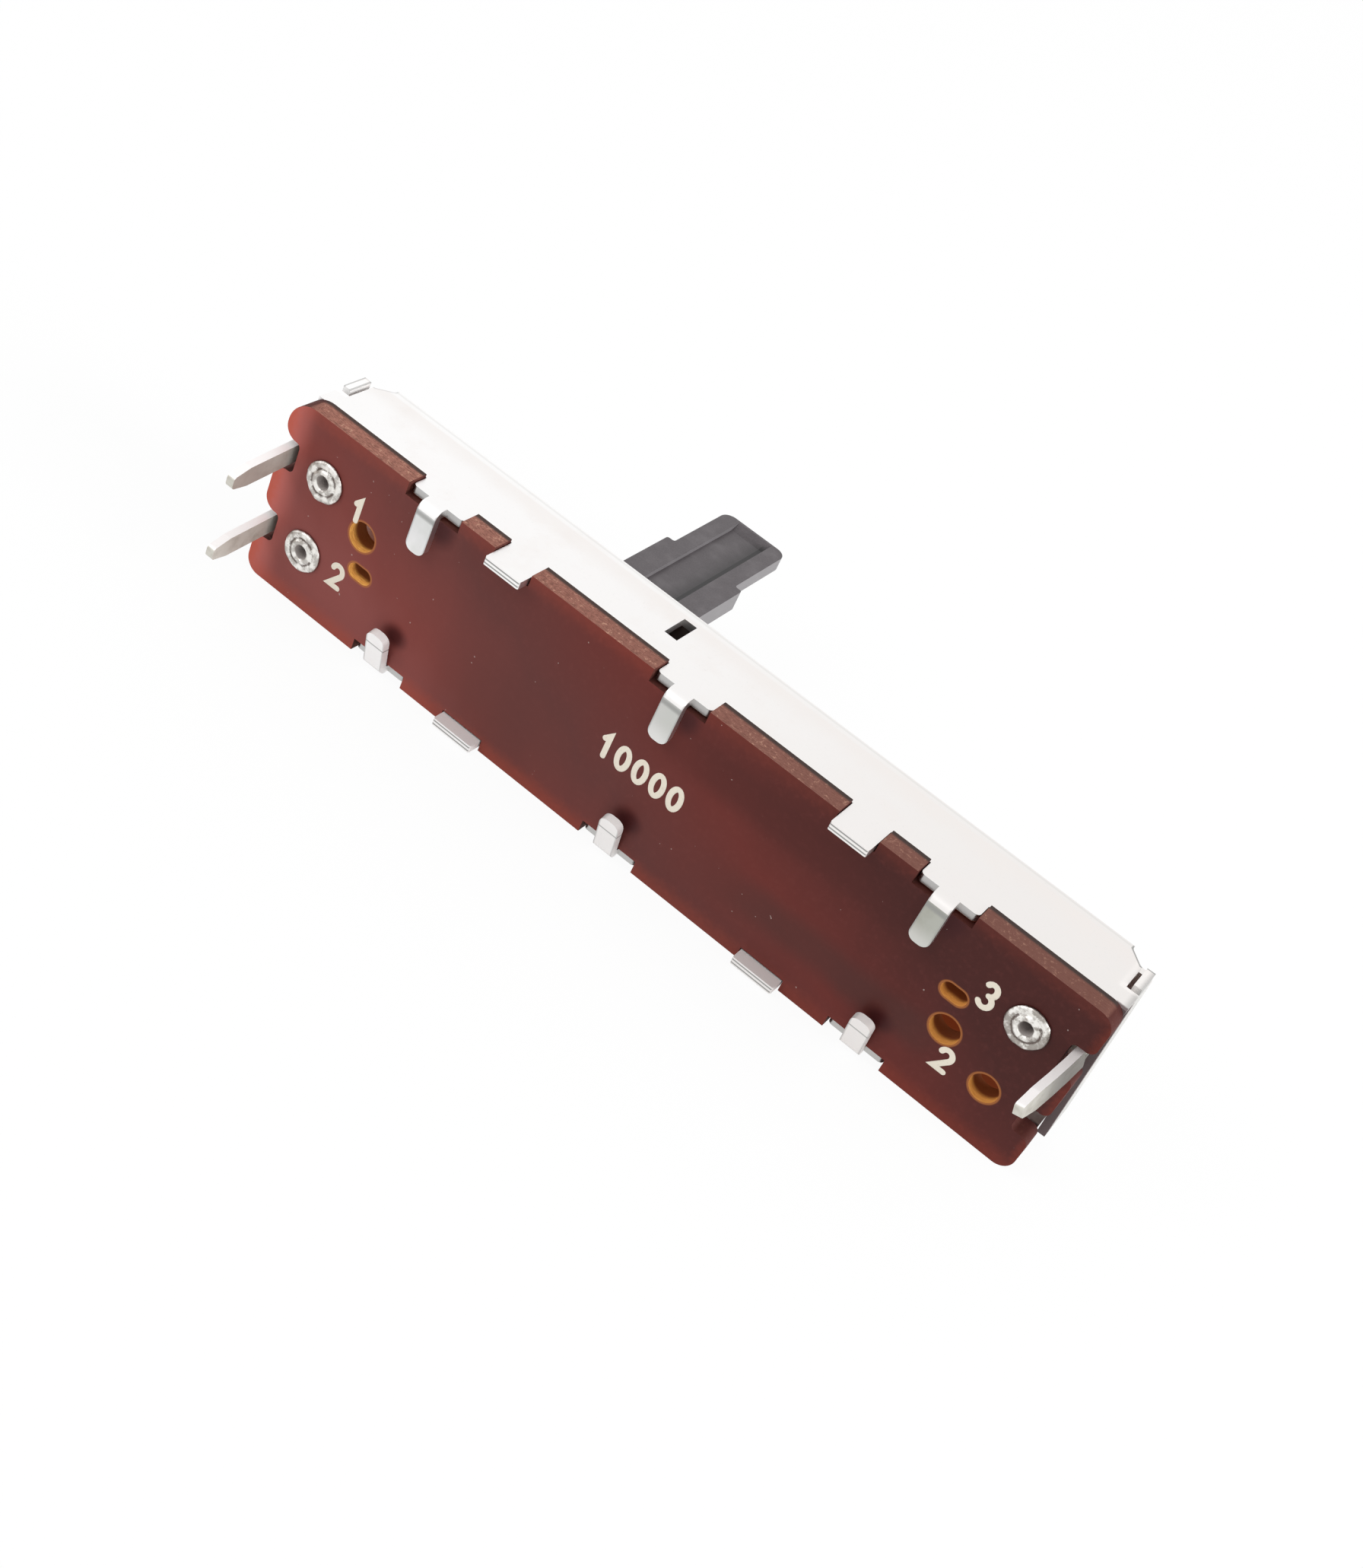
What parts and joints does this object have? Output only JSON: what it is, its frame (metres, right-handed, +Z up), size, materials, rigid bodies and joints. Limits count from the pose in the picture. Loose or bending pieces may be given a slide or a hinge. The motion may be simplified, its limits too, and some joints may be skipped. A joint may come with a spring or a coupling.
{
  "type": "slide potentiometer",
  "caption": "Slide potentiometer with a flat lever in a slotted sheet-metal housing, crimped over a riveted board with pin terminals.",
  "frame": {"origin": "middle of the panel face, between the two panel screw holes", "axes": "+X along the lever's travel, +Y out of the panel face along the lever, +Z up; the part lies on one long side wall"},
  "size_m": [0.0451, 0.0243, 0.0098],
  "materials": {
    "housing_sheet": "bright tin-plated steel sheet",
    "phenolic": "dark red-brown phenolic laminate, satin, slightly translucent at the edges",
    "carbon_print": "matt black resistive print",
    "silver_print": "satin silver print",
    "terminal_strip": "silver-plated brass strip",
    "eyelet_metal": "tinned eyelet, bright",
    "slider_plastic": "dark grey moulded plastic, satin",
    "spring_strip": "spring bronze strip"
  },
  "bodies": {
    "base": {"housing": "housing_sheet", "board": "phenolic", "resistive_track": "carbon_print", "collector_track": "silver_print", "pad_1": "silver_print", "pad_2": "silver_print", "pad_3": "silver_print", "terminal_1": "terminal_strip", "terminal_2": "terminal_strip", "terminal_3": "terminal_strip", "eyelet_1": "eyelet_metal", "eyelet_2": "eyelet_metal", "eyelet_3": "eyelet_metal"},
    "slider_unit": {"slider": "slider_plastic", "wiper": "spring_strip", "bow_spring": "spring_strip"}
  },
  "joints": [
    {"name": "slider_travel", "type": "slide", "parent": "base", "child": "slider_unit", "axis": [1, 0, 0], "range_m": [-0.0079, 0.0221]}
  ]
}
